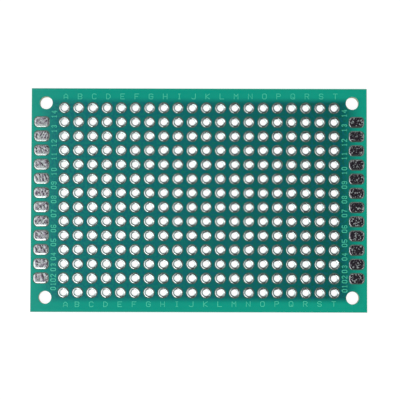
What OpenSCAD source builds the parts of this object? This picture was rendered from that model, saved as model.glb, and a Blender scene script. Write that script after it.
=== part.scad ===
// Double-sided prototype board: a drilled glass-epoxy laminate with a grid of
// plated-through holes, a row of solder pads along each end of both faces,
// a green solder mask on both faces and four bare holes in the corners.
// All sizes are in millimetres.
// X runs along the board, Y across it and Z up through it.
// The origin is under the middle of the board, level with its lowest solder.

/* [Hole grid] */
// Distance between neighbouring holes, along and across the board
pitch = 2.54; // [2:0.01:5.08]
// Number of columns, counted along the board
columns = 20; // [4:1:26]
// Number of rows, counted across the board
rows = 14; // [5:1:40]
// Distance from the first and last column to the ends of the board
end_margin = 5.87; // [4.6:0.01:12]
// Distance from the first and last row to the sides of the board
side_margin = 3.49; // [1.8:0.01:12]

/* [Laminate] */
// Thickness of the bare laminate
laminate_t = 1.5; // [0.7:0.1:3.1]
// Diameter of the bare hole in each corner
corner_hole_d = 2.3; // [1.6:0.1:3]
// Distance from a corner hole's centre to both edges of the board
corner_inset = 2.6; // [1.8:0.1:3]

/* [Plated holes] */
// Finished diameter of a plated hole
hole_d = 1.1; // [0.6:0.05:1.4]
// Thickness of the plating on a hole's wall
barrel_wall = 0.05; // [0.03:0.01:0.1]
// Clear laminate between neighbouring ring lands
land_spacing = 0.59; // [0.3:0.01:0.8]
// Height of a land or pad at its edge, over the laminate
rim_t = 0.04; // [0.02:0.01:0.1]
// Rise of the solder crown over the edge of a ring land
land_crown = 0.06; // [0.02:0.01:0.12]

/* [Edge pads] */
// Length of an edge pad, along the board
pad_l = 2.7; // [2:0.1:3.4]
// Clear laminate between neighbouring edge pads
pad_spacing = 0.64; // [0.4:0.01:0.9]
// Corner radius of an edge pad
pad_corner_r = 0.65; // [0.5:0.05:0.9]
// Distance from an edge pad to the end of the board
pad_end_gap = 0.5; // [0.2:0.05:0.6]
// Rows without an edge pad beside each side of the board
pad_free_rows = 1; // [1:1:2]
// Rise of the solder crown over the edge of an edge pad
pad_crown = 0.06; // [0.02:0.01:0.1]
// Width of the rounded rim around an edge pad's flat top
pad_rim_w = 0.35; // [0.1:0.05:0.45]

/* [Solder mask] */
// Thickness of the solder mask
mask_t = 0.05; // [0.03:0.01:0.1]
// Clearance of a mask opening around the land or pad in it
mask_gap = 0.06; // [0.03:0.01:0.1]

/* [Hidden] */
$fn = 64;

board_l = (columns - 1) * pitch + 2 * end_margin;
board_w = (rows - 1) * pitch + 2 * side_margin;

hole_r = hole_d / 2;
drill_d = hole_d + 2 * barrel_wall;
land_d = pitch - land_spacing;
ring_w = (land_d - hole_d) / 2;
land_t = rim_t + land_crown;

pad_w = pitch - pad_spacing;
pad_t = rim_t + pad_crown;
pad_flat_l = pad_l - 2 * pad_corner_r;
pad_flat_w = pad_w - 2 * pad_corner_r;
pad_x = board_l / 2 - pad_end_gap - pad_l / 2;

laminate_z = max(land_t, pad_t);
laminate_top = laminate_z + laminate_t;

laminate_colour = "#b8b27c";
mask_colour = "#0e927c";
solder_colour = "#a3abb0";

function column_x(c) = (c - (columns - 1) / 2) * pitch;
function row_y(r) = (r - (rows - 1) / 2) * pitch;
function column_name(c) = str("hole_plating_column_", chr(97 + c));

// Radius of an arc that falls by drop over run, starting level
function arc_r(run, drop) = (run * run + drop * drop) / (2 * drop);

// Places, in plan

module at_grid() {
    for (c = [0 : columns - 1], r = [0 : rows - 1])
        translate([column_x(c), row_y(r)])
            children();
}

module at_corners() {
    for (x = [-1, 1], y = [-1, 1])
        translate([x * (board_l / 2 - corner_inset), y * (board_w / 2 - corner_inset)])
            children();
}

// end is -1 for the left end and 1 for the right
module at_edge_pads(end) {
    for (r = [pad_free_rows : rows - 1 - pad_free_rows])
        translate([end * pad_x, row_y(r)])
            children();
}

module board_outline() {
    square([board_l, board_w], center = true);
}

// Laminate: the core, cut to size, drilled for plating and drilled bare in the corners

module laminate() {
    color(laminate_colour)
        translate([0, 0, laminate_z])
            linear_extrude(laminate_t)
                difference() {
                    board_outline();
                    at_grid() circle(d = drill_d);
                    at_corners() circle(d = corner_hole_d);
                }
}

// Solder mask: a film with an opening around every land, pad and corner hole

module pad_opening() {
    square([pad_l + 2 * mask_gap, pad_flat_w], center = true);
    square([pad_flat_l, pad_w + 2 * mask_gap], center = true);
    for (x = [-1, 1], y = [-1, 1])
        translate([x * pad_flat_l / 2, y * pad_flat_w / 2])
            circle(r = pad_corner_r + mask_gap);
}

module mask_film() {
    linear_extrude(mask_t)
        difference() {
            board_outline();
            at_grid() circle(d = land_d + 2 * mask_gap);
            at_corners() circle(d = corner_hole_d);
            at_edge_pads(-1) pad_opening();
            at_edge_pads(1) pad_opening();
        }
}

module solder_mask_top() {
    color(mask_colour)
        translate([0, 0, laminate_top])
            mask_film();
}

module solder_mask_bottom() {
    color(mask_colour)
        translate([0, 0, laminate_z - mask_t])
            mask_film();
}

// Hole plating: a barrel through the laminate, with a ring land on each face.
// Solder stands on a land as a bead, highest in the middle of the ring.

module ring_crown_section() {
    bead_r = arc_r(ring_w / 2, land_crown);
    intersection() {
        translate([hole_r, 0])
            square([ring_w, land_t]);
        translate([hole_r + ring_w / 2, land_t - bead_r])
            circle(r = bead_r);
    }
}

// Half the hole's section, from the middle of the laminate up
module half_hole_section() {
    translate([hole_r, 0])
        square([barrel_wall, laminate_t / 2]);
    translate([0, laminate_t / 2])
        ring_crown_section();
}

module hole_plating() {
    translate([0, 0, laminate_z + laminate_t / 2])
        rotate_extrude() {
            half_hole_section();
            mirror([0, 1]) half_hole_section();
        }
}

module hole_plating_column(c) {
    color(solder_colour)
        for (r = [0 : rows - 1])
            translate([column_x(c), row_y(r), 0])
                hole_plating();
}

// Edge pad: a flat-topped pool of solder with rounded corners and a rounded rim

// The rim's section, from the centre of a corner out to the pad's edge
module pad_rim_section() {
    rim_start = pad_corner_r - pad_rim_w;
    rim_r = arc_r(pad_rim_w, pad_crown);
    square([rim_start, pad_t]);
    intersection() {
        translate([rim_start, 0])
            square([pad_rim_w, pad_t]);
        translate([rim_start, pad_t - rim_r])
            circle(r = rim_r);
    }
}

// A straight stretch of the rim, length long and out from the pad's middle
module pad_side(length, out) {
    translate([-length / 2, out, 0])
        rotate([90, 0, 90])
            linear_extrude(length)
                pad_rim_section();
}

module pad_corner(x, y, turn) {
    translate([x * pad_flat_l / 2, y * pad_flat_w / 2, 0])
        rotate([0, 0, turn])
            rotate_extrude(angle = 90)
                pad_rim_section();
}

module edge_pad() {
    translate([-pad_flat_l / 2, -pad_flat_w / 2, 0])
        cube([pad_flat_l, pad_flat_w, pad_t]);
    for (turn = [0, 180]) {
        rotate([0, 0, turn]) pad_side(pad_flat_l, pad_flat_w / 2);
        rotate([0, 0, turn + 90]) pad_side(pad_flat_w, pad_flat_l / 2);
    }
    pad_corner(1, 1, 0);
    pad_corner(-1, 1, 90);
    pad_corner(-1, -1, 180);
    pad_corner(1, -1, 270);
}

module edge_pads_top(end) {
    color(solder_colour)
        translate([0, 0, laminate_top])
            at_edge_pads(end) edge_pad();
}

module edge_pads_bottom(end) {
    color(solder_colour)
        translate([0, 0, laminate_z])
            mirror([0, 0, 1])
                at_edge_pads(end) edge_pad();
}

module edge_pads_top_left() { edge_pads_top(-1); }
module edge_pads_top_right() { edge_pads_top(1); }
module edge_pads_bottom_left() { edge_pads_bottom(-1); }
module edge_pads_bottom_right() { edge_pads_bottom(1); }

laminate();
solder_mask_top();
solder_mask_bottom();
for (c = [0 : columns - 1])
    hole_plating_column(c);
edge_pads_top_left();
edge_pads_top_right();
edge_pads_bottom_left();
edge_pads_bottom_right();
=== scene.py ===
# %% [markdown]
# # A green prototype board, seen from above
# The real thing is a thin glass-epoxy board with a grid of plated holes.
# Its solids come packed from the workshop, in metres and at their real size.
# This lesson keeps the laminate and the two mask films as they are and gives
# them finishes. It models the solder afresh, because molten metal never sets
# as evenly as a drawing, and it prints the letters and numbers of the grid.

# %% Load the solids
from math import cos, pi, radians, sin

import bpy
import numpy as np
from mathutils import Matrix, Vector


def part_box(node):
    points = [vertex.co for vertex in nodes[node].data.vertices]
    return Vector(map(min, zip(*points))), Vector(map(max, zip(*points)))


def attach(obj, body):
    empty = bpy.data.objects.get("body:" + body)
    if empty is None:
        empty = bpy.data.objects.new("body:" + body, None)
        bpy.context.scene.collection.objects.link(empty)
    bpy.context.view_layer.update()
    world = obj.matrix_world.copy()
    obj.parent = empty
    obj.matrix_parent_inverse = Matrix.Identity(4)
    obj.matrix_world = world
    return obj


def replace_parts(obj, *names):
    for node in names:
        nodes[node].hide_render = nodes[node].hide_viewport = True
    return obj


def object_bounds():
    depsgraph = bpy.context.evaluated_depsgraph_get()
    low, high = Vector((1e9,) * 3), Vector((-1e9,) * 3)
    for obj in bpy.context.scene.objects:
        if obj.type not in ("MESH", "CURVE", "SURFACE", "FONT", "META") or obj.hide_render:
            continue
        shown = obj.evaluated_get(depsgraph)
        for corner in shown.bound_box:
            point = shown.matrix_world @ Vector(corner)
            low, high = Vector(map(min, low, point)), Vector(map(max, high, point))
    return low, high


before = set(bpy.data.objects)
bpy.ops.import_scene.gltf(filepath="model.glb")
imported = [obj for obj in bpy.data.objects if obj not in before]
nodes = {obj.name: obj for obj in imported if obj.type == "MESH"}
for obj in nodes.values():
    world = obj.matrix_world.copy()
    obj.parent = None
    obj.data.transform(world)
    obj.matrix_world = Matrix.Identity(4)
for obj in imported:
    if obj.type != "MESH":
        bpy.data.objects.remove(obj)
solid_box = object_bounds()
scene = bpy.context.scene
scene.view_settings.view_transform = "Standard"
print("solids:", len(nodes), "size in m:", solid_box[1] - solid_box[0])

# %% [markdown]
# ## The board's measures
# Everything on the board follows one number, the 2.54 mm between two holes.
# The heights are read from the solids, so the solder and the ink sit exactly
# on the laminate and on the mask.

# %% Measures, in metres
MM = 0.001
PITCH = 2.54 * MM
COLUMNS, ROWS = 20, 14
HOLE_R, DRILL_R, LAND_R = 0.55 * MM, 0.60 * MM, 0.975 * MM
COLUMN_X = (np.arange(COLUMNS) - (COLUMNS - 1) / 2) * PITCH
ROW_Y = (np.arange(ROWS) - (ROWS - 1) / 2) * PITCH

LAMINATE_LOW, LAMINATE_HIGH = (corner.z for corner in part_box("laminate"))
MASK_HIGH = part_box("solder_mask_top")[1].z
CREST = solid_box[1].z - LAMINATE_HIGH
print("solder stands over the laminate by, mm:", round(CREST / MM, 3))

# %% [markdown]
# ## The camera
# The picture looks almost straight down, from a little towards the near side:
# the near side is half a percent wider than the far one. The holes tell how
# far away the camera is. They are wells, and the light at their lower ends sits
# nearer to the middle of the picture than the rings around their upper ends.

# %% Camera
CAMERA_DISTANCE = 0.31
CAMERA_TILT = radians(3.0)
CAMERA_ROLL = radians(0.14)
CAMERA_LENS_MM, CAMERA_SENSOR_MM = 155.4, 36.0
AIM_X, AIM_Y = 0.18 * MM, 0.10 * MM

camera = bpy.data.objects.new("camera", bpy.data.cameras.new("camera"))
camera.data.sensor_width = CAMERA_SENSOR_MM
camera.data.lens = CAMERA_LENS_MM
camera.data.clip_start, camera.data.clip_end = 0.05, 50.0
camera.rotation_euler = (CAMERA_TILT, 0.0, CAMERA_ROLL)
back_off = CAMERA_DISTANCE * sin(CAMERA_TILT)
camera.location = (
    AIM_X + back_off * sin(CAMERA_ROLL),
    AIM_Y - back_off * cos(CAMERA_ROLL),
    CAMERA_DISTANCE * cos(CAMERA_TILT),
)
scene.collection.objects.link(camera)
scene.camera = camera
print("camera at:", [round(v, 4) for v in camera.location])

# %% [markdown]
# ## Small helpers for materials
# Colours are written as sRGB hex values, as a picture editor shows them, and
# Blender wants them linear. Every material below is a few nodes, so one short
# function adds a node, sets its options and fills or links its sockets.

# %% Helpers for materials
# A Mix node for colours has its sockets at these numbers
MIX_FACTOR, MIX_A, MIX_B, MIX_RESULT = 0, 6, 7, 2


def linear(code):
    """sRGB hex to linear: c / 12.92 up to 0.04045, above it ((c + 0.055) / 1.055) to the power 2.4."""
    c = np.array([int(code[i : i + 2], 16) for i in (1, 3, 5)]) / 255
    c = np.where(c <= 0.04045, c / 12.92, ((c + 0.055) / 1.055) ** 2.4)
    return (*c.tolist(), 1.0)


def add(tree, kind, sockets=None, **settings):
    """Adds a node of a kind. A socket takes a value, or the output of another node to link from."""
    node = tree.nodes.new(kind)
    for name, value in settings.items():
        setattr(node, name, value)
    for key, value in (sockets or {}).items():
        if isinstance(value, bpy.types.NodeSocket):
            tree.links.new(value, node.inputs[key])
        else:
            node.inputs[key].default_value = value
    return node


def new_material(name):
    """An empty node material: returns it, its tree and its output node."""
    material = bpy.data.materials.new(name)
    material.use_nodes = True
    material.node_tree.nodes.clear()
    return material, material.node_tree, add(material.node_tree, "ShaderNodeOutputMaterial")


print("middle grey, #808080, is linear:", round(linear("#808080")[0], 3))

# %% [markdown]
# ## Solder-mask ink
# The green film is a cured epoxy ink, printed wet, so its surface is glossy
# and slightly wavy. The film is a little see-through. Along the bare margins
# light comes back up through the pale laminate, and between the lands, which
# stop it on both faces, the green is deeper and bluer, with small clouds where
# the ink ran together. That light and its lack are painted into the ink's
# colour, as a paler green on the margins and a deeper, bluer one between the
# lands. Between the lands the green is also painted darker from the left end
# of the board to the right, as painted shade where the light falls off.

# %% Material: solder-mask ink, how far a point is in the bare margin
FIELD_X, FIELD_Y = COLUMN_X[-1] + LAND_R, ROW_Y[-1] + LAND_R
FADE_X, FADE_Y = (0.0 * MM, 4.7 * MM), (-0.3 * MM, 1.1 * MM)

mask_ink, tree, out = new_material("solder_mask_ink_cured_epoxy")
place = add(tree, "ShaderNodeTexCoord").outputs["Object"]
axes = add(tree, "ShaderNodeSeparateXYZ", {"Vector": place}).outputs
bare = []
for axis, edge, fade in (("X", FIELD_X, FADE_X), ("Y", FIELD_Y, FADE_Y)):
    reach = add(tree, "ShaderNodeMath", {0: axes[axis]}, operation="ABSOLUTE").outputs[0]
    share = add(
        tree,
        "ShaderNodeMapRange",
        {"Value": reach, "From Min": edge + fade[0], "From Max": edge + fade[1]},
        interpolation_type="SMOOTHSTEP",
    )
    bare.append(share.outputs["Result"])
margin = add(tree, "ShaderNodeMath", {0: bare[0], 1: bare[1]}, operation="MAXIMUM").outputs[0]
along = add(
    tree,
    "ShaderNodeMapRange",
    {"Value": axes["X"], "From Min": -FIELD_X, "From Max": FIELD_X},
).outputs["Result"]
print("field of lands, mm:", round(2 * FIELD_X / MM, 2), "by", round(2 * FIELD_Y / MM, 2))

# %% Material: solder-mask ink, its green
CLOUD_MM = 0.40
CLOUD_FROM, CLOUD_TO, CLOUD_MOST = 0.40, 0.62, 0.75

# Painted shade: between the lands the green runs darker from left to right.
field_green = add(
    tree,
    "ShaderNodeMix",
    {MIX_FACTOR: along, MIX_A: linear("#0e7f74"), MIX_B: linear("#065b4b")},
    data_type="RGBA",
).outputs[MIX_RESULT]
clouds = add(tree, "ShaderNodeTexNoise", {"Vector": place, "Scale": 1 / (CLOUD_MM * MM), "Detail": 2.0})
cloud_share = add(
    tree,
    "ShaderNodeMapRange",
    {
        "Value": clouds.outputs["Fac"],
        "From Min": CLOUD_FROM,
        "From Max": CLOUD_TO,
        "To Max": CLOUD_MOST,
    },
).outputs["Result"]
clouded_green = add(
    tree,
    "ShaderNodeMix",
    {MIX_FACTOR: cloud_share, MIX_A: field_green, MIX_B: linear("#065f70")},
    data_type="RGBA",
).outputs[MIX_RESULT]
# Painted light: the margins are a paler green, for the light coming up through the laminate; they grow a
# little paler towards the right.
margin_green = add(
    tree,
    "ShaderNodeMix",
    {MIX_FACTOR: along, MIX_A: linear("#069884"), MIX_B: linear("#0aa087")},
    data_type="RGBA",
).outputs[MIX_RESULT]
green = add(
    tree,
    "ShaderNodeMix",
    {MIX_FACTOR: margin, MIX_A: clouded_green, MIX_B: margin_green},
    data_type="RGBA",
).outputs[MIX_RESULT]
print("clouds of, mm:", CLOUD_MM)

# %% Material: solder-mask ink, its gloss
WAVE_MM = 1.6
WAVE_DEPTH, WAVE_STRENGTH = 0.02 * MM, 0.35

waves = add(tree, "ShaderNodeTexNoise", {"Vector": place, "Scale": 1 / (WAVE_MM * MM), "Detail": 1.0})
bump = add(
    tree,
    "ShaderNodeBump",
    {"Height": waves.outputs["Fac"], "Strength": WAVE_STRENGTH, "Distance": WAVE_DEPTH},
)
film = add(
    tree,
    "ShaderNodeBsdfPrincipled",
    {
        "Base Color": green,
        "Roughness": 0.14,
        "Specular IOR Level": 0.22,
        "Normal": bump.outputs["Normal"],
    },
)
tree.links.new(film.outputs["BSDF"], out.inputs["Surface"])
for name in ("solder_mask_top", "solder_mask_bottom"):
    nodes[name].data.materials.clear()
    nodes[name].data.materials.append(mask_ink)
print("mask ink:", len(tree.nodes), "nodes")

# %% [markdown]
# ## Glass-epoxy laminate
# The core is glass cloth pressed in epoxy. Its sawn edge shows the plies as
# pale and darker lines, about eight of them, with the ends of the threads as
# short flecks. Its faces only show in the hairline gap around each land and
# pad, where the etched cloth is stained by the ink. Their dark green is partly
# that stain and partly painted shade from the solder and mask beside the gap.

# %% Material: glass-epoxy laminate, its sawn edge
PLIES = 8
FLECK_MM, FLECK_STRETCH = 0.12, 4.0
FLECK_FROM, FLECK_TO, FLECK_MOST = 0.5, 0.72, 0.7
# A wave texture of scale 1 turns by this many radians in a metre
WAVE_TURN = 20
ply_height = (LAMINATE_HIGH - LAMINATE_LOW) / PLIES

laminate_epoxy, tree, out = new_material("glass_epoxy_laminate_sawn")
place = add(tree, "ShaderNodeTexCoord").outputs["Object"]
plies = add(
    tree,
    "ShaderNodeTexWave",
    {
        "Vector": place,
        "Scale": 2 * pi / (WAVE_TURN * ply_height),
        "Distortion": 1.2,
        "Detail": 2.0,
    },
    bands_direction="Z",
)
stretched = add(
    tree,
    "ShaderNodeMapping",
    {"Vector": place, "Scale": (1 / FLECK_STRETCH, 1 / FLECK_STRETCH, 1.0)},
).outputs["Vector"]
flecks = add(
    tree,
    "ShaderNodeTexNoise",
    {"Vector": stretched, "Scale": 1 / (FLECK_MM * MM), "Detail": 3.0},
).outputs["Fac"]
ply_colour = add(
    tree,
    "ShaderNodeMix",
    {MIX_FACTOR: plies.outputs["Fac"], MIX_A: linear("#8f9f7a"), MIX_B: linear("#b4bf97")},
    data_type="RGBA",
).outputs[MIX_RESULT]
fleck_share = add(
    tree,
    "ShaderNodeMapRange",
    {"Value": flecks, "From Min": FLECK_FROM, "From Max": FLECK_TO, "To Max": FLECK_MOST},
).outputs["Result"]
edge_colour = add(
    tree,
    "ShaderNodeMix",
    {MIX_FACTOR: fleck_share, MIX_A: ply_colour, MIX_B: linear("#d6dcc2")},
    data_type="RGBA",
).outputs[MIX_RESULT]
print("plies of, mm:", round(ply_height / MM, 3))

# %% Material: glass-epoxy laminate, its faces
STAIN_AND_SHADE_FROM, STAIN_AND_SHADE_TO = 0.02 * MM, 0.005 * MM
SAW_DEPTH, SAW_STRENGTH = 0.02 * MM, 0.5
middle_z = (LAMINATE_HIGH + LAMINATE_LOW) / 2
half_height = (LAMINATE_HIGH - LAMINATE_LOW) / 2

height = add(tree, "ShaderNodeSeparateXYZ", {"Vector": place}).outputs["Z"]
lift = add(tree, "ShaderNodeMath", {0: height, 1: middle_z}, operation="SUBTRACT").outputs[0]
lift = add(tree, "ShaderNodeMath", {0: lift}, operation="ABSOLUTE").outputs[0]
face_share = add(
    tree,
    "ShaderNodeMapRange",
    {"Value": lift, "From Min": half_height - STAIN_AND_SHADE_FROM, "From Max": half_height - STAIN_AND_SHADE_TO},
).outputs["Result"]
# Stain and painted shade: the faces are a dark green, for the ink's stain and for the shade in the gap.
core_colour = add(
    tree,
    "ShaderNodeMix",
    {MIX_FACTOR: face_share, MIX_A: edge_colour, MIX_B: linear("#46604f")},
    data_type="RGBA",
).outputs[MIX_RESULT]
saw_marks = add(
    tree,
    "ShaderNodeBump",
    {"Height": flecks, "Strength": SAW_STRENGTH, "Distance": SAW_DEPTH},
)
core = add(
    tree,
    "ShaderNodeBsdfPrincipled",
    {"Base Color": core_colour, "Roughness": 0.6, "Normal": saw_marks.outputs["Normal"]},
)
tree.links.new(core.outputs["BSDF"], out.inputs["Surface"])
nodes["laminate"].data.materials.clear()
nodes["laminate"].data.materials.append(laminate_epoxy)
print("laminate:", len(tree.nodes), "nodes")

# %% [markdown]
# ## Levelled solder
# The lands and pads are dipped in molten solder and blown level with hot air.
# On slopes and rims, and all round a narrow ring, the metal freezes at once and
# stays bright. In the level pool of a wide pad it freezes slowly: pale frosted
# crystals stand between smooth patches under a violet skin of oxide. The pool
# is told from the slopes by its height over the laminate. At the right end it
# lies lower, and its grain stands out more.

# %% The pool of a wide pad
SHINE, FROST = 0.16, 0.60
PATCH_MM, SKIN_FROM, SKIN_TO = 0.26, 0.36, 0.46
POOL_FADE = 0.015 * MM


def frozen_pool(tree, place, bright, oxide, slope_relief, pool_relief, pool):
    """Sockets of colour, roughness and relief that change over the height pool, on both faces.

    Where a noise is high, the pool is oxide and as smooth as the slopes. Where it is low, the pool stays
    bright and takes the roughness FROST.
    """
    z = add(tree, "ShaderNodeSeparateXYZ", {"Vector": place}).outputs["Z"]
    lift = add(tree, "ShaderNodeMath", {0: z, 1: middle_z}, operation="SUBTRACT").outputs[0]
    lift = add(tree, "ShaderNodeMath", {0: lift}, operation="ABSOLUTE").outputs[0]
    low = half_height + pool
    level = add(
        tree,
        "ShaderNodeMapRange",
        {"Value": lift, "From Min": low, "From Max": low + POOL_FADE},
    ).outputs["Result"]
    patches = add(
        tree,
        "ShaderNodeTexNoise",
        {"Vector": place, "Scale": 1 / (PATCH_MM * MM), "Detail": 2.0},
    ).outputs["Fac"]
    skin_share = add(
        tree,
        "ShaderNodeMapRange",
        {"Value": patches, "From Min": SKIN_FROM, "From Max": SKIN_TO, "To Max": level},
    ).outputs["Result"]
    frost_share = add(tree, "ShaderNodeMath", {0: level, 1: skin_share}, operation="SUBTRACT").outputs[0]
    colour = add(
        tree,
        "ShaderNodeMix",
        {MIX_FACTOR: skin_share, MIX_A: linear(bright), MIX_B: linear(oxide)},
        data_type="RGBA",
    ).outputs[MIX_RESULT]
    roughness = add(
        tree,
        "ShaderNodeMapRange",
        {"Value": frost_share, "To Min": SHINE, "To Max": FROST},
    ).outputs["Result"]
    relief = add(
        tree,
        "ShaderNodeMapRange",
        {"Value": level, "To Min": slope_relief, "To Max": pool_relief},
    ).outputs["Result"]
    return colour, roughness, relief


# %% Material: levelled solder
GRAIN_DEPTH = 0.02 * MM


def solder_finish(name, bright, grain_mm, relief, **pool):
    """Bright metal of the roughness SHINE with a bump of fine grain, and a pool where one is given."""
    material, tree, out = new_material(name)
    place = add(tree, "ShaderNodeTexCoord").outputs["Object"]
    grain = add(tree, "ShaderNodeTexNoise", {"Vector": place, "Scale": 1 / (grain_mm * MM), "Detail": 2.0})
    colour, roughness = linear(bright), SHINE
    if pool:
        colour, roughness, relief = frozen_pool(tree, place, bright, slope_relief=relief, **pool)
    skin = add(
        tree,
        "ShaderNodeBump",
        {"Height": grain.outputs["Fac"], "Strength": relief, "Distance": GRAIN_DEPTH},
    )
    metal = add(
        tree,
        "ShaderNodeBsdfPrincipled",
        {
            "Base Color": colour,
            "Metallic": 1.0,
            "Roughness": roughness,
            "Normal": skin.outputs["Normal"],
        },
    )
    tree.links.new(metal.outputs["BSDF"], out.inputs["Surface"])
    print(name, len(tree.nodes), "nodes")
    return material


RING_BRIGHT, RING_GRAIN_MM, RING_RELIEF = "#deebe9", 0.16, 0.2
PAD_BRIGHT, PAD_GRAIN_MM, PAD_RELIEF, PAD_OXIDE = "#d8e2e0", 0.20, 0.1, "#998c9e"
# The relief in the pool of a pad, and the height over which it is a pool
POOLS = {
    "left": ("tin_lead_solder_frosted", 0.5, 0.80 * CREST),
    "right": ("tin_lead_solder_grainy", 1.0, 0.55 * CREST),
}
ring_solder = solder_finish("tin_lead_solder_bright", RING_BRIGHT, RING_GRAIN_MM, RING_RELIEF)
pad_solder = {}
for end, (name, relief, pool) in POOLS.items():
    pad_solder[end] = solder_finish(
        name, PAD_BRIGHT, PAD_GRAIN_MM, PAD_RELIEF, oxide=PAD_OXIDE, pool_relief=relief, pool=pool
    )

# %% [markdown]
# ## A helper for new pieces
# A piece is an array of points and a list of faces. Each piece is put into
# its mesh as a whole, rides on the board and takes a finish.

# %% Helper for pieces
def make_piece(name, points, faces, smooth, material, slot):
    """One mesh at the origin: points (n, 3) in metres, and for each face its corners and a smooth flag."""
    mesh = bpy.data.meshes.new(name)
    mesh.from_pydata(points.tolist(), [], faces)
    mesh.polygons.foreach_set("use_smooth", np.asarray(smooth, bool))
    mesh.materials.append(material)
    mesh.update()
    piece = bpy.data.objects.new(name, mesh)
    scene.collection.objects.link(piece)
    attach(piece, "root")
    low, high = points.min(0) / MM, points.max(0) / MM
    print(name, "faces:", len(faces), "z in mm:", round(low[2], 3), "to", round(high[2], 3))
    return piece


# %% [markdown]
# ## The plated holes
# Each hole is a thin barrel with a ring land on both faces, and solder stands
# on the ring as a bead. A turned profile would make 280 equal rings, and the
# eye sees at once that they are copies. So the bead is a closed grid around
# the hole, with the profile on one side and the angle on the other. Its height
# and width swell by slow waves that differ from hole to hole. The hot air has
# pushed the solder to one side, where a tongue of it widens the hole's mouth.

# %% How the solder of a ring has moved
ANGLES = 14
ANGLE = np.arange(ANGLES) * 2 * pi / ANGLES
LEAN, LEAN_SPREAD, SPREAD_CUT = 0.24, 0.14, 1.5
TONGUE_TURN, TURN_SPREAD = -0.10, 0.28
TONGUE_LEAST, TONGUE_MOST, TONGUE_POWER = 0.17, 0.34, 6


def swell(random, copies, share):
    """Slow waves round a hole: share times (sin(angle + a) + sin(2 angle + b)) / 2.

    The phases a and b are drawn for each hole.
    """
    a, b = random.uniform(0, 2 * pi, (2, copies, 1))
    return share * (np.sin(ANGLE + a) + np.sin(2 * ANGLE + b)) / 2


def lean(random, copies):
    """The air's push: solder stands higher towards +X, by (LEAN + a) cos(angle) + b sin(angle).

    The parts a and b are drawn for each hole, and are at most LEAN_SPREAD.
    """
    drawn = np.clip(random.normal(0, 1, (2, copies, 1)), -SPREAD_CUT, SPREAD_CUT)
    a, b = drawn * LEAN_SPREAD / SPREAD_CUT
    return (LEAN + a) * np.cos(ANGLE) + b * np.sin(ANGLE)


def tongue(random, copies):
    """How far the mouth's slope runs out: a drawn share times cos(angle - turn) to a power, ahead only.

    The turn is drawn too, about +X.
    """
    turn = random.normal(TONGUE_TURN, TURN_SPREAD, (copies, 1))
    share = random.uniform(TONGUE_LEAST, TONGUE_MOST, (copies, 1))
    return share * np.maximum(np.cos(ANGLE - turn), 0) ** TONGUE_POWER


print("angles round a ring:", ANGLES)

# %% The section of a bead
# A station's radius, how much that swells, and the tongue's part in it
BEAD_RADII = (
    (0.62 * MM, 0.020, 0.00),  # the knee of the mouth
    (0.70 * MM, 0.030, 1.00),  # the brow, where the bead turns level
    (0.87 * MM, 0.020, 0.12),  # the outer shoulder
    (0.98 * MM, 0.015, 0.00),  # the foot, where solder wraps the land's edge
)
# A station's height as a share of the crest, the lean's and tongue's part in it, and how much it swells
BEAD_RISES = (
    (0.45, 0.25, 0.0, 0.05),  # the knee
    (0.66, 0.95, 0.5, 0.05),  # the brow
    (0.70, 0.70, 0.6, 0.06),  # the shoulder
)
BROW_LIMIT = 0.88 * MM
MOUTH_DEPTH = 0.7


def bead_section(random, copies):
    """Radius and height over the laminate of a bead's points, (copies, angles, 6) each.

    From the hole outwards they are the barrel's wall under the mouth, the four stations and the drilled
    wall. A radius is a station's own times (1 + swelling + tongue), and a height is the crest times the sum
    of a station's shares, at most the crest.
    """
    flat = np.zeros((copies, ANGLES))
    tilt = lean(random, copies)
    run = tongue(random, copies)
    knee, brow, shoulder, foot = (
        own * (1 + swell(random, copies, waves) + by_tongue * run) for own, waves, by_tongue in BEAD_RADII
    )
    brow = np.minimum(brow, BROW_LIMIT)
    radius = np.stack([flat + HOLE_R, knee, brow, shoulder, foot, flat + DRILL_R], -1)
    rises = [
        own + by_lean * tilt + by_tongue * run + swell(random, copies, waves)
        for own, by_lean, by_tongue, waves in BEAD_RISES
    ]
    rise = CREST * np.stack([flat - MOUTH_DEPTH, *rises, flat, flat], -1)
    return radius, np.minimum(rise, CREST)


print("stations of a bead:", len(BEAD_RADII) + 2)

# %% Build the plated holes
# The undersides of the two lands and the barrel's outside, counted along the section
FLAT_BANDS = (4, 5, 6)
SEED = 7


def torus_faces(copies, around, along):
    """Quads of grids that close both ways: point (c, i, j) has the number (c * around + i) * along + j."""
    c, i, j = np.meshgrid(np.arange(copies), np.arange(around), np.arange(along), indexing="ij")
    steps = ((0, 0), (0, 1), (1, 1), (1, 0))
    corners = [(c * around + (i + di) % around) * along + (j + dj) % along for di, dj in steps]
    return np.stack(corners, -1).reshape(-1, 4), j.ravel()


def plated_holes(random):
    """Points (holes * angles * 12, 3): a bead's radius turned about each hole's centre.

    The section runs along the upper bead from mouth to barrel, then along the lower one back to the mouth.
    """
    centre_x, centre_y = (grid.ravel() for grid in np.meshgrid(COLUMN_X, ROW_Y, indexing="ij"))
    copies = len(centre_x)
    upper_r, upper_rise = bead_section(random, copies)
    lower_r, lower_rise = bead_section(random, copies)
    radius = np.concatenate([upper_r, lower_r[..., ::-1]], -1)
    z = np.concatenate([LAMINATE_HIGH + upper_rise, LAMINATE_LOW - lower_rise[..., ::-1]], -1)
    angle = ANGLE[None, :, None]
    x = centre_x[:, None, None] + radius * np.cos(angle)
    y = centre_y[:, None, None] + radius * np.sin(angle)
    return np.stack([x, y, z], -1).reshape(-1, 3), copies, radius.shape[-1]


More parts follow.
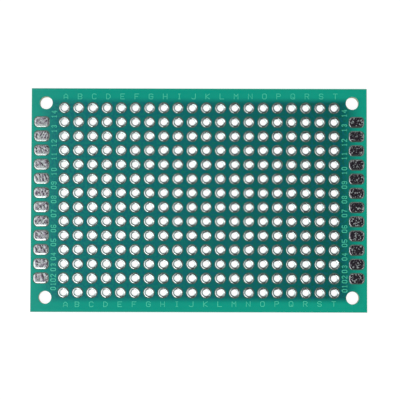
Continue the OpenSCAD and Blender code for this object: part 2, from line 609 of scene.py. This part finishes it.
random = np.random.default_rng(SEED)
points, copies, along_points = plated_holes(random)
faces, band = torus_faces(copies, ANGLES, along_points)
crown_bands = ~np.isin(band, FLAT_BANDS)
plated = make_piece("plated_holes_solder", points, faces.tolist(), crown_bands, ring_solder, "solder")
columns = [name for name in nodes if name.startswith("hole_plating_column_")]
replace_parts(plated, *columns)
print("plated holes:", copies, "in place of", len(columns), "columns")

# %% [markdown]
# ## The edge pads
# A pad is a flat pool of solder with a rounded rim. The pool froze while the
# hot air was blowing, so it is rippled, and the ripples break its reflections
# into light and dark patches. The pool is a grid laid into the rounded
# rectangle, lifted by its distance from the edge and by a few crossed waves.
# Molten solder draws itself round, so its corners are a little rounder than
# those of the copper underneath. The pads at the right end met the air last,
# half frozen, and are lumpier.

# %% The surface of a pad
PAD_L, PAD_W, PAD_R = 2.7 * MM, 1.9 * MM, 0.76 * MM
CELLS_X, CELLS_Y = 30, 24
RIM = 0.08 * CREST
SIDE_RIM, SIDE_BEND = 0.15 * MM, 0.8
NEAR_RIM_FIRST, NEAR_RIM_LAST, NEAR_STEP = 0.24 * MM, 0.50 * MM, 0.3
RIPPLES, RIPPLE_LEAST_MM, RIPPLE_MOST_MM = 7, 0.35, 1.1
PEAK, RIPPLE_FADE = 0.58, 0.2 * MM


def pad_plan():
    """Grid of a rounded rectangle: y runs across it, and x is a share of the half length left at that y."""
    y = np.linspace(-1, 1, CELLS_Y + 1) * PAD_W / 2
    over = np.maximum(np.abs(y) - (PAD_W / 2 - PAD_R), 0)
    half = PAD_L / 2 - PAD_R + np.sqrt(np.maximum(PAD_R**2 - over**2, 0))
    x = np.linspace(-1, 1, CELLS_X + 1)[None, :] * half[:, None]
    return x, np.broadcast_to(y[:, None], x.shape)


def pad_rise(random, copies, x, y, heave):
    """Height of a pad's skin: the rim, plus a bent quarter sine over the rim's width, plus ripples.

    The distance from the edge is the corner radius less that from the corner's centre, or from the inner
    rectangle. On the near side, where the air pushed the solder off, an even ramp takes the rim's place. It
    starts at NEAR_STEP and is wider from the first row to the last.
    The ripples are heave times the mean of waves with drawn directions, lengths and phases, cut off at
    PEAK. The pool lies so low that the highest one just meets the crest.
    """
    over_x = np.abs(x) - (PAD_L / 2 - PAD_R)
    over_y = np.abs(y) - (PAD_W / 2 - PAD_R)
    reach = np.hypot(np.maximum(over_x, 0), np.maximum(over_y, 0))
    reach = reach + np.minimum(np.maximum(over_x, over_y), 0)
    inward = np.clip((PAD_R - reach) / SIDE_RIM, 0, 1)
    near_rim = np.linspace(NEAR_RIM_FIRST, NEAR_RIM_LAST, copies)[:, None, None]
    ramp = np.clip(NEAR_STEP + (1 - NEAR_STEP) * (y + PAD_W / 2) / near_rim, 0, 1)
    turn, phase = random.uniform(0, 2 * pi, (2, RIPPLES, copies, 1, 1))
    length = random.uniform(RIPPLE_LEAST_MM, RIPPLE_MOST_MM, (RIPPLES, copies, 1, 1)) * MM
    ripple = np.sin((x * np.cos(turn) + y * np.sin(turn)) * 2 * pi / length + phase).mean(0)
    slope = np.minimum(np.sin(inward * pi / 2) ** SIDE_BEND, ramp)
    inside = np.clip((y + PAD_W / 2 - near_rim) / RIPPLE_FADE, 0, 1)
    pool = 1 - PEAK * heave + heave * inside * np.clip(ripple, -PEAK, PEAK)
    return RIM + (CREST - RIM) * slope * pool


print("cells of a pad:", CELLS_X * CELLS_Y)

# %% Build the four rows of pads
PAD_ROWS = ROW_Y[1:-1]
HEAVE = {"left": 0.20, "right": 0.34}


def border(number):
    """The outer ones of a grid of point numbers, once round, counter-clockwise."""
    return np.concatenate([number[0, :-1], number[:-1, -1], number[-1, :0:-1], number[:0:-1, 0]])


def pad_row(random, centre_x, foot_z, up, heave):
    """Closed pads, one a row of holes: the skin's grid, a skirt down to the laminate, and an underside."""
    x, y = pad_plan()
    copies = len(PAD_ROWS)
    rise = pad_rise(random, copies, x, y, heave)
    skin = np.stack(
        [np.broadcast_to(centre_x + x, rise.shape), PAD_ROWS[:, None, None] + y, foot_z + up * rise], -1
    ).reshape(copies, -1, 3)
    number = np.arange(skin.shape[1]).reshape(CELLS_Y + 1, CELLS_X + 1)
    edge = border(number)
    foot = skin[:, edge].copy()
    foot[..., 2] = foot_z
    points = np.concatenate([skin, foot], 1)
    top = np.stack([number[:-1, :-1], number[:-1, 1:], number[1:, 1:], number[1:, :-1]], -1).reshape(-1, 4)
    foot_number = skin.shape[1] + np.arange(len(edge))
    skirt = np.stack([edge, foot_number, np.roll(foot_number, -1), np.roll(edge, -1)], -1)
    start = np.arange(copies)[:, None] * points.shape[1]
    quads = np.concatenate([top, skirt])
    quads = quads if up > 0 else quads[:, ::-1]
    under = foot_number[::-1] if up > 0 else foot_number
    faces = (start[:, :, None] + quads).reshape(-1, 4).tolist() + (start + under).tolist()
    smooth = np.concatenate([np.tile(np.arange(len(quads)) < len(top), copies), np.zeros(copies, bool)])
    return points.reshape(-1, 3), faces, smooth


for face, foot_z, up in (("top", LAMINATE_HIGH, 1), ("bottom", LAMINATE_LOW, -1)):
    for end in ("left", "right"):
        node = f"edge_pads_{face}_{end}"
        low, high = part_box(node)
        row = pad_row(random, (low.x + high.x) / 2, foot_z, up, HEAVE[end])
        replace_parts(make_piece(f"{node}_solder", *row, pad_solder[end], "solder"), node)

# %% [markdown]
# ## Legend ink
# The letters and numbers are screen-printed in white epoxy ink. Printed this
# thin, the ink lets the green through and looks mint, and the mesh of the
# screen leaves it uneven.

# %% Material: legend ink
SCREEN_MM = 0.1

legend_ink, tree, out = new_material("legend_ink_screen_printed_epoxy")
place = add(tree, "ShaderNodeTexCoord").outputs["Object"]
screen = add(tree, "ShaderNodeTexNoise", {"Vector": place, "Scale": 1 / (SCREEN_MM * MM), "Detail": 1.0})
ink_colour = add(
    tree,
    "ShaderNodeMix",
    {MIX_FACTOR: screen.outputs["Fac"], MIX_A: linear("#24bc94"), MIX_B: linear("#54dab4")},
    data_type="RGBA",
).outputs[MIX_RESULT]
ink = add(tree, "ShaderNodeBsdfPrincipled", {"Base Color": ink_colour, "Roughness": 0.5})
tree.links.new(ink.outputs["BSDF"], out.inputs["Surface"])
print("legend ink:", len(tree.nodes), "nodes")

# %% [markdown]
# ## The letters and numbers
# A board house draws its legend with a round pen along short straight strokes.
# Blender's text tool would give the outlines of a book face, so each sign is
# written here as pen strokes on a lattice, four steps wide and six high: the
# pair 26 is the point two steps across and six up. A thin ribbon follows each
# stroke, mitred at its corners, and a stroke that ends where it began closes.

# %% The pen strokes
LATTICE = (4, 6)
STROKES = {
    "A": "00 04 26 44 40,02 42",
    "B": "03 33 44 45 36 06 00 30 41 42 33",
    "C": "45 36 16 05 01 10 30 41",
    "D": "00 06 26 44 42 20 00",
    "E": "46 06 00 40,03 33",
    "F": "46 06 00,03 33",
    "G": "45 36 16 05 01 10 30 41 43 23",
    "H": "06 00,46 40,03 43",
    "I": "16 36,26 20,10 30",
    "J": "46 41 30 10 01",
    "K": "06 00,46 03 40",
    "L": "06 00 40",
    "M": "00 06 23 46 40",
    "N": "00 06 40 46",
    "O": "16 36 45 41 30 10 01 05 16",
    "P": "00 06 36 45 44 33 03",
    "Q": "16 36 45 41 30 10 01 05 16,22 40",
    "R": "00 06 36 45 44 33 03,23 40",
    "S": "45 36 16 05 04 13 33 42 41 30 10 01",
    "T": "06 46,26 20",
    "0": "16 36 45 41 30 10 01 05 16",
    "1": "15 26 20,10 30",
    "2": "05 16 36 45 44 00 40",
    "3": "15 26 36 45 44 33 42 41 30 20 11,23 33",
    "4": "30 36 02 42",
    "5": "46 06 03 33 42 41 30 10 01",
    "6": "45 36 16 05 01 10 30 41 42 33 03",
    "7": "06 46 45 22 20",
    "8": "13 04 05 16 36 45 44 33 13,13 02 01 10 30 41 42 33",
    "9": "01 10 30 41 45 36 16 05 04 13 43",
}
print("signs:", len(STROKES))

# %% A ribbon along a stroke
INK_T = 0.015 * MM
MITRE_LIMIT, SHARP_TURN, NO_STEP = 1.6, 0.3, 1e-12


def ribbon(path, closed, pen):
    """Points (n, 4, 3) of a pen stroke: a flat box section, half a pen wide each side of the path.

    At a corner the two sides' normals m and n give the mitre (m + n) / (1 + m . n), in half widths, which
    is cut off at MITRE_LIMIT.
    """
    step = np.roll(path, -1, 0) - path
    step = step / np.maximum(np.linalg.norm(step, axis=1, keepdims=True), NO_STEP)
    if not closed:
        step[-1] = step[-2]
    before = np.roll(step, 1, 0)
    if not closed:
        before[0] = step[0]
    m, n = (np.stack([-d[:, 1], d[:, 0]], -1) for d in (before, step))
    mitre = (m + n) / np.maximum(1 + (m * n).sum(1, keepdims=True), SHARP_TURN)
    long = np.linalg.norm(mitre, axis=1, keepdims=True)
    mitre = mitre * np.minimum(MITRE_LIMIT / long, 1) * pen / 2
    if not closed:
        path = path.copy()
        path[0] -= step[0] * pen / 2
        path[-1] += step[-1] * pen / 2
    low, high = MASK_HIGH, MASK_HIGH + INK_T
    sides = [(path + mitre, high), (path - mitre, high), (path - mitre, low), (path + mitre, low)]
    return np.stack([np.column_stack([p, np.full(len(p), z)]) for p, z in sides], 1)


def ribbon_faces(count, closed, start):
    """Quads along a ribbon of count sections, numbered from start, with a cap at each end if it is open."""
    i = np.arange(count if closed else count - 1)[:, None]
    k = np.arange(4)[None, :]
    here, there = i * 4, (i + 1) % count * 4
    quads = np.stack([here + k, here + (k + 1) % 4, there + (k + 1) % 4, there + k], -1).reshape(-1, 4)
    caps = np.zeros((0, 4), int) if closed else np.array([[3, 2, 1, 0], np.arange(4) + (count - 1) * 4])
    return (np.concatenate([quads, caps]) + start).tolist()


def write(signs, turn, pen):
    """Ribbons of signs, each as (sign, x, y, cell): its lattice fills the cell, turned about (x, y)."""
    points, faces, count = [], [], 0
    spin = np.array([[cos(turn), sin(turn)], [-sin(turn), cos(turn)]])
    for sign, x, y, cell in signs:
        for stroke in STROKES[sign].split(","):
            pairs = stroke.split()
            closed = pairs[0] == pairs[-1]
            pairs = pairs[:-1] if closed else pairs
            lattice = np.array([[int(pair[0]), int(pair[1])] for pair in pairs])
            path = (lattice / LATTICE - 0.5) * cell @ spin + (x, y)
            sections = ribbon(path, closed, pen)
            points.append(sections.reshape(-1, 3))
            faces += ribbon_faces(len(sections), closed, count)
            count += sections.size // 3
    return np.concatenate(points), faces


print("ink stands over the mask by, mm:", round(INK_T / MM, 3))

# %% [markdown]
# ## The column letters
# They stand in one row along each long side. Both rows slant a little, and the
# near A keeps clear of the corner hole.

# %% Column letters
LETTER_PEN = 0.10 * MM
# The far and the near row, in mm: y from A to T, the A's shift along x, that of the others, and the cell
LETTER_ROWS = (
    ((18.54, 18.64), 0.25, 0.25, (0.68, 0.90)),
    ((-18.64, -18.46), 0.39, -0.08, (0.68, 0.86)),
)
letters = [chr(ord("A") + c) for c in range(COLUMNS)]
signs = []
for y_span, first_shift, shift, cell in LETTER_ROWS:
    x = COLUMN_X + np.array([first_shift] + [shift] * (COLUMNS - 1)) * MM
    y = np.linspace(*y_span, COLUMNS) * MM
    signs += zip(letters, x, y, [np.array(cell) * MM] * COLUMNS)
points, faces = write(signs, 0.0, LETTER_PEN)
make_piece("column_letters", points, faces, np.zeros(len(faces)), legend_ink, "solder_mask")

# %% [markdown]
# ## The row numbers
# They are turned a quarter, so that they read from the near side to the far
# side, and at each end they stand between the pads and the next column. Whoever
# drew them nudged each one by hand, nearer than its row, and the first ones
# closer together to stay clear of the corner hole.

# %% Row numbers
DIGIT_CELL = np.array([0.44, 0.86]) * MM
DIGIT_STEP, DIGIT_PEN = 0.78 * MM, 0.12 * MM
NUMBERS_LEFT_X, NUMBERS_RIGHT_X = -25.95 * MM, 25.97 * MM
# How far each number stands from its row, in mm, from row 01 to row 14
NUDGE_LEFT = (
    *(1.07, 0.02, -0.64, -1.23, -1.27, -1.33, -1.17),
    *(-1.21, -1.22, -1.32, -1.11, -1.30, -1.27, -1.18),
)
NUDGE_RIGHT = (
    *(0.78, -0.13, -0.86, -1.18, -1.29, -1.30, -1.05),
    *(-1.14, -1.04, -1.05, -0.95, -1.09, -1.00, -0.93),
)
signs = [
    (digit, x, y + side * DIGIT_STEP / 2, DIGIT_CELL)
    for x, nudge in ((NUMBERS_LEFT_X, NUDGE_LEFT), (NUMBERS_RIGHT_X, NUDGE_RIGHT))
    for row, y in enumerate(ROW_Y + np.array(nudge) * MM, 1)
    for digit, side in zip(f"{row:02d}", (-1, 1))
]
points, faces = write(signs, pi / 2, DIGIT_PEN)
make_piece("row_numbers", points, faces, np.zeros(len(faces)), legend_ink, "solder_mask")

# %% [markdown]
# ## The floor
# The board lies on a plain white table. The camera, and what mirrors the
# table, should see clean white with the board's soft shadow on it, so for
# those rays the table glows nearly white and adds its own lit surface. From
# underneath it is clear, and a lamp there shines up through it, so the lower
# face can be looked at too.

# %% Material: white table
GLOW, LIT = 0.93, 0.14

white_table, tree, out = new_material("white_table_matte_paint")
rays = add(tree, "ShaderNodeLightPath").outputs
seen = rays["Is Camera Ray"]
for kind in ("Is Glossy Ray", "Is Transmission Ray"):
    seen = add(tree, "ShaderNodeMath", {0: seen, 1: rays[kind]}, operation="MAXIMUM").outputs[0]
glow = add(tree, "ShaderNodeEmission", {"Color": (1.0, 1.0, 1.0, 1.0), "Strength": GLOW}).outputs[0]
lit = add(tree, "ShaderNodeBsdfDiffuse", {"Color": (LIT, LIT, LIT, 1.0)}).outputs[0]
paint = add(tree, "ShaderNodeBsdfDiffuse", {"Color": linear("#e4e4e2")}).outputs[0]
shown = add(tree, "ShaderNodeAddShader", {0: glow, 1: lit}).outputs[0]
table = add(tree, "ShaderNodeMixShader", {0: seen, 1: paint, 2: shown}).outputs[0]
clear = add(tree, "ShaderNodeBsdfTransparent").outputs[0]
from_below = add(tree, "ShaderNodeNewGeometry").outputs["Backfacing"]
passed = add(
    tree,
    "ShaderNodeMath",
    {0: from_below, 1: rays["Is Shadow Ray"]},
    operation="MAXIMUM",
).outputs[0]
surface = add(tree, "ShaderNodeMixShader", {0: passed, 1: table, 2: clear}).outputs[0]
tree.links.new(surface, out.inputs["Surface"])
print("white table:", len(tree.nodes), "nodes")

# %% Floor
FLOOR_HALF = 4.0

floor_mesh = bpy.data.meshes.new("floor")
corners = [(x * FLOOR_HALF, y * FLOOR_HALF, 0.0) for x, y in ((-1, -1), (1, -1), (1, 1), (-1, 1))]
floor_mesh.from_pydata(corners, [], [(0, 1, 2, 3)])
floor_mesh.materials.append(white_table)
floor = bpy.data.objects.new("floor", floor_mesh)
scene.collection.objects.link(floor)
print("floor:", 2 * FLOOR_HALF, "m square")

# %% [markdown]
# ## The light
# Metal shows what is around it, so the room matters as much as the lamps.
# A wide soft box hangs over the table on the left. Its edge stops short of the
# board, and fades there. A level surface then mirrors the dark ceiling, which
# keeps the green deep, and every slope that leans towards the box turns white:
# the outer left of a bead, the right of a hole's mouth. A box at the far left
# carries it on, and a narrow one at the near left lights the near rims of the
# left pads. On the right and far sides the boxes hang further out, where only
# steep flanks mirror them, and a small one at the near right keeps that side
# from going black. The even light on the green comes from a lamp above with a
# polarising filter. A crossed filter on the lens takes its mirror image away,
# so here it doesn't show in glossy surfaces. The last lamp shines up from under
# the table, for views of the lower face.

# %% Room
WALL, FAR_WALL, CEILING = 0.9, 0.40, 0.06
BRIGHT_SIDE = (-0.95, -0.3, 0.0)
SIDE_FROM, SIDE_TO = -0.3, 0.5
WALL_TOP, CEILING_EDGE = 0.10, 0.50

world = bpy.data.worlds.new("studio_room")
world.use_nodes = True
scene.world = world
tree = world.node_tree
tree.nodes.clear()
direction = add(tree, "ShaderNodeTexCoord").outputs["Generated"]
up = add(tree, "ShaderNodeSeparateXYZ", {"Vector": direction}).outputs["Z"]
side = add(tree, "ShaderNodeVectorMath", {0: direction, 1: BRIGHT_SIDE}, operation="DOT_PRODUCT")
wall = add(
    tree,
    "ShaderNodeMapRange",
    {
        "Value": side.outputs["Value"],
        "From Min": SIDE_FROM,
        "From Max": SIDE_TO,
        "To Min": FAR_WALL,
        "To Max": WALL,
    },
).outputs["Result"]
level = add(
    tree,
    "ShaderNodeMapRange",
    {"Value": up, "From Min": WALL_TOP, "From Max": CEILING_EDGE, "To Min": wall, "To Max": CEILING},
    interpolation_type="SMOOTHSTEP",
).outputs["Result"]
looked_at = add(tree, "ShaderNodeLightPath").outputs["Is Camera Ray"]
strength = add(
    tree,
    "ShaderNodeMapRange",
    {"Value": looked_at, "To Min": level, "To Max": 1.0},
).outputs["Result"]
room = add(tree, "ShaderNodeBackground", {"Color": linear("#f6f8fa"), "Strength": strength})
add(tree, "ShaderNodeOutputWorld", {"Surface": room.outputs["Background"]})
print("room:", len(tree.nodes), "nodes")

# %% Lamps
def soft_box(name, x_span, y_span, height, radiance, mirrored=True):
    """A level lamp over x_span and y_span: its power is its radiance times its area times pi.

    It shines down, or up if it hangs under the floor.
    """
    lamp = bpy.data.lights.new(name, "AREA")
    lamp.shape = "RECTANGLE"
    lamp.size, lamp.size_y = x_span[1] - x_span[0], y_span[1] - y_span[0]
    lamp.energy = radiance * lamp.size * lamp.size_y * pi
    holder = bpy.data.objects.new(name, lamp)
    holder.location = (sum(x_span) / 2, sum(y_span) / 2, height)
    holder.rotation_euler.x = pi if height < 0 else 0.0
    holder.visible_camera = False
    holder.visible_glossy = mirrored
    scene.collection.objects.link(holder)
    print(name, "watts:", round(lamp.energy, 2))


soft_box("left_soft_box", (-0.95, -0.11), (-0.43, 0.07), 0.30, 1.5)
soft_box("left_box_edge", (-0.11, -0.054), (-0.28, 0.13), 0.30, 1.0)
soft_box("far_left_box", (-0.95, -0.40), (0.09, 0.60), 0.30, 1.2)
soft_box("near_soft_box", (-0.11, -0.050), (-0.60, -0.07), 0.29, 2.0)
soft_box("fill_soft_box", (0.12, 0.27), (-0.25, -0.11), 0.22, 1.1)
soft_box("right_soft_box", (0.32, 0.90), (-0.45, 0.25), 0.30, 1.3)
soft_box("far_soft_box", (-0.30, 0.30), (0.35, 0.90), 0.30, 0.6)
soft_box("polarised_lamp", (-0.25, 0.15), (-0.25, 0.15), 0.60, 2.4, mirrored=False)
soft_box("under_lamp", (-0.40, 0.40), (-0.40, 0.40), -0.60, 2.0, mirrored=False)
